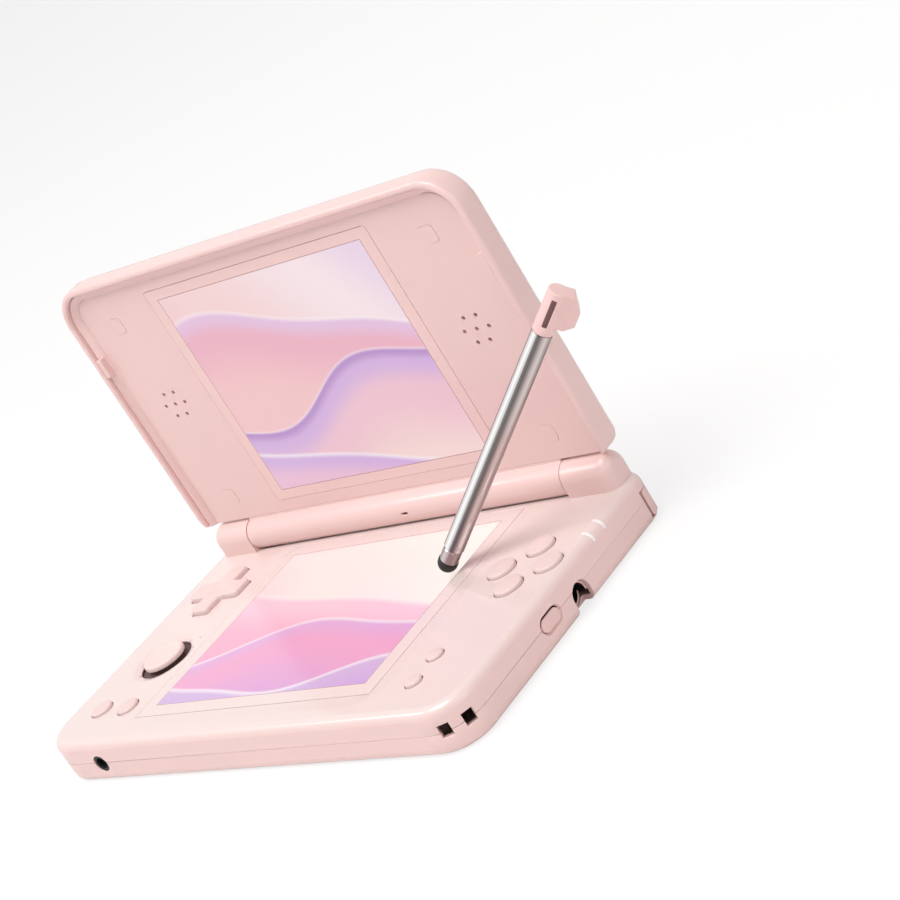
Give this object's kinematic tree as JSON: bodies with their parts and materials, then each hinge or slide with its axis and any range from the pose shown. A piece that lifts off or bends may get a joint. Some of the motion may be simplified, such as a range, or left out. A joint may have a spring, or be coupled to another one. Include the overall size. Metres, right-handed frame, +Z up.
{
  "type": "clamshell handheld game console",
  "caption": "Clamshell handheld game console, open at a right angle, with two screens, press and rocking controls, a slide pad and a stylus.",
  "frame": {"origin": "centre of the base's flat underside, on the table", "axes": "+X to the player's right along the hinge, +Y from the player to the hinge, +Z up"},
  "size_m": [0.1833, 0.093, 0.104],
  "materials": {
    "housing": "pearl satin lacquer on moulded plastic",
    "trim": "satin pink plastic",
    "control": "satin pink plastic, softened edges",
    "panel": "clear touch film over a lit screen",
    "screen": "lit screen under a clear lens",
    "steel": "plain bright steel",
    "pin_steel": "polished steel",
    "board": "green solder mask",
    "black": "moulded black plastic",
    "soft": "translucent silicone rubber",
    "tip_rubber": "black rubber",
    "light": "white light guide",
    "cell": "wrapped lithium cell"
  },
  "bodies": {
    "base": {"base_upper": "housing", "base_lower": "housing", "touch_panel": "panel", "lower_display": "screen", "display_frame": "steel", "main_board": "board", "board_shield": "steel", "battery": "cell", "silo_tube": "housing", "headphone_socket": "black", "charge_socket": "steel", "card_slot": "steel", "power_switch": "black", "volume_switch": "black", "strap_post": "steel", "status_lights": "light", "dpad_membrane": "soft", "face_membrane": "soft", "menu_membrane": "soft", "system_membrane": "soft", "dpad_post": "steel", "slide_socket": "black", "shoulder_pins": "pin_steel", "shoulder_switches": "black", "hinge_pin_left": "pin_steel", "hinge_pin_right": "pin_steel", "hinge_knuckles": "housing", "housing_screws": "steel"},
    "lid": {"lid_back": "housing", "lid_bezel": "housing", "upper_lens": "screen", "upper_display": "black", "speaker_left": "black", "speaker_right": "black", "lid_pads": "soft", "hinge_barrel": "housing", "hinge_clutch": "pin_steel", "hinge_bush": "pin_steel", "microphone": "black", "display_flex": "black"},
    "stylus": {"stylus_cap": "trim", "stylus_sleeve": "pin_steel", "stylus_shaft": "pin_steel", "stylus_tip": "tip_rubber"},
    "dpad_pivot": {"dpad_pivot": "pin_steel"},
    "dpad": {"dpad": "control"},
    "slide_carrier": {"slide_carrier": "steel"},
    "slide_pad": {"slide_pad": "soft"},
    "power_button": {"power_button": "trim"},
    "volume_rocker": {"volume_rocker": "trim"},
    "shoulder_left": {"shoulder_left": "trim"},
    "shoulder_right": {"shoulder_right": "trim"},
    "face_button_rear": {"face_button_rear": "control"},
    "face_button_right": {"face_button_right": "control"},
    "face_button_left": {"face_button_left": "control"},
    "face_button_front": {"face_button_front": "control"},
    "start_button": {"start_button": "control"},
    "select_button": {"select_button": "control"},
    "system_button_left": {"system_button_left": "control"},
    "system_button_right": {"system_button_right": "control"}
  },
  "joints": [
    {"name": "lid_hinge", "type": "hinge", "parent": "base", "child": "lid", "pos_m": [0, 0.0412, 0.017], "axis": [1, 0, 0], "range_deg": [-55, 90]},
    {"name": "stylus_carry", "type": "slide", "parent": "base", "child": "stylus", "axis": [0.8, -0.6, 0], "range_m": [-0.0352, 0.0568]},
    {"name": "dpad_rock_sideways", "type": "hinge", "parent": "base", "child": "dpad_pivot", "pos_m": [-0.0607, 0.0183, 0.012], "axis": [0, 1, 0], "range_deg": [-3, 3], "stiffness_Nm_per_rad": 0.1},
    {"name": "dpad_rock_forward", "type": "hinge", "parent": "dpad_pivot", "child": "dpad", "pos_m": [-0.0607, 0.0183, 0.012], "axis": [1, 0, 0], "range_deg": [-3, 3], "stiffness_Nm_per_rad": 0.1},
    {"name": "slide_pad_x", "type": "slide", "parent": "base", "child": "slide_carrier", "axis": [1, 0, 0], "range_m": [-0.001, 0.001], "stiffness_N_per_m": 250},
    {"name": "slide_pad_y", "type": "slide", "parent": "slide_carrier", "child": "slide_pad", "axis": [0, 1, 0], "range_m": [-0.001, 0.001], "stiffness_N_per_m": 250},
    {"name": "face_button_rear_press", "type": "slide", "parent": "base", "child": "face_button_rear", "axis": [0, 0, -1], "range_m": [0, 0.0006], "stiffness_N_per_m": 1500, "springref_m": -0.0003},
    {"name": "face_button_right_press", "type": "slide", "parent": "base", "child": "face_button_right", "axis": [0, 0, -1], "range_m": [0, 0.0006], "stiffness_N_per_m": 1500, "springref_m": -0.0003},
    {"name": "face_button_left_press", "type": "slide", "parent": "base", "child": "face_button_left", "axis": [0, 0, -1], "range_m": [0, 0.0006], "stiffness_N_per_m": 1500, "springref_m": -0.0003},
    {"name": "face_button_front_press", "type": "slide", "parent": "base", "child": "face_button_front", "axis": [0, 0, -1], "range_m": [0, 0.0006], "stiffness_N_per_m": 1500, "springref_m": -0.0003},
    {"name": "start_button_press", "type": "slide", "parent": "base", "child": "start_button", "axis": [0, 0, -1], "range_m": [0, 0.0006], "stiffness_N_per_m": 1500, "springref_m": -0.0003},
    {"name": "select_button_press", "type": "slide", "parent": "base", "child": "select_button", "axis": [0, 0, -1], "range_m": [0, 0.0006], "stiffness_N_per_m": 1500, "springref_m": -0.0003},
    {"name": "system_button_left_press", "type": "slide", "parent": "base", "child": "system_button_left", "axis": [0, 0, -1], "range_m": [0, 0.0006], "stiffness_N_per_m": 1500, "springref_m": -0.0003},
    {"name": "system_button_right_press", "type": "slide", "parent": "base", "child": "system_button_right", "axis": [0, 0, -1], "range_m": [0, 0.0006], "stiffness_N_per_m": 1500, "springref_m": -0.0003},
    {"name": "power_button_press", "type": "slide", "parent": "base", "child": "power_button", "axis": [-1, 0, 0], "range_m": [0, 0.0005], "stiffness_N_per_m": 1500, "springref_m": -0.0003},
    {"name": "volume_rock", "type": "hinge", "parent": "base", "child": "volume_rocker", "pos_m": [-0.07645, 0.009, 0.0064], "axis": [0, 0, 1], "range_deg": [-3, 3], "stiffness_Nm_per_rad": 0.06},
    {"name": "shoulder_left_press", "type": "hinge", "parent": "base", "child": "shoulder_left", "pos_m": [-0.054, 0.0441, 0.0051], "axis": [0, 0, 1], "range_deg": [0, 1.5], "stiffness_Nm_per_rad": 0.8, "springref_deg": -1.15},
    {"name": "shoulder_right_press", "type": "hinge", "parent": "base", "child": "shoulder_right", "pos_m": [0.054, 0.0441, 0.0051], "axis": [0, 0, -1], "range_deg": [0, 1.5], "stiffness_Nm_per_rad": 0.8, "springref_deg": -1.15}
  ],
  "couplings": [
    {"joint": "stylus_carry", "follows": "lid_hinge", "m_per_rad": 0.036}
  ]
}
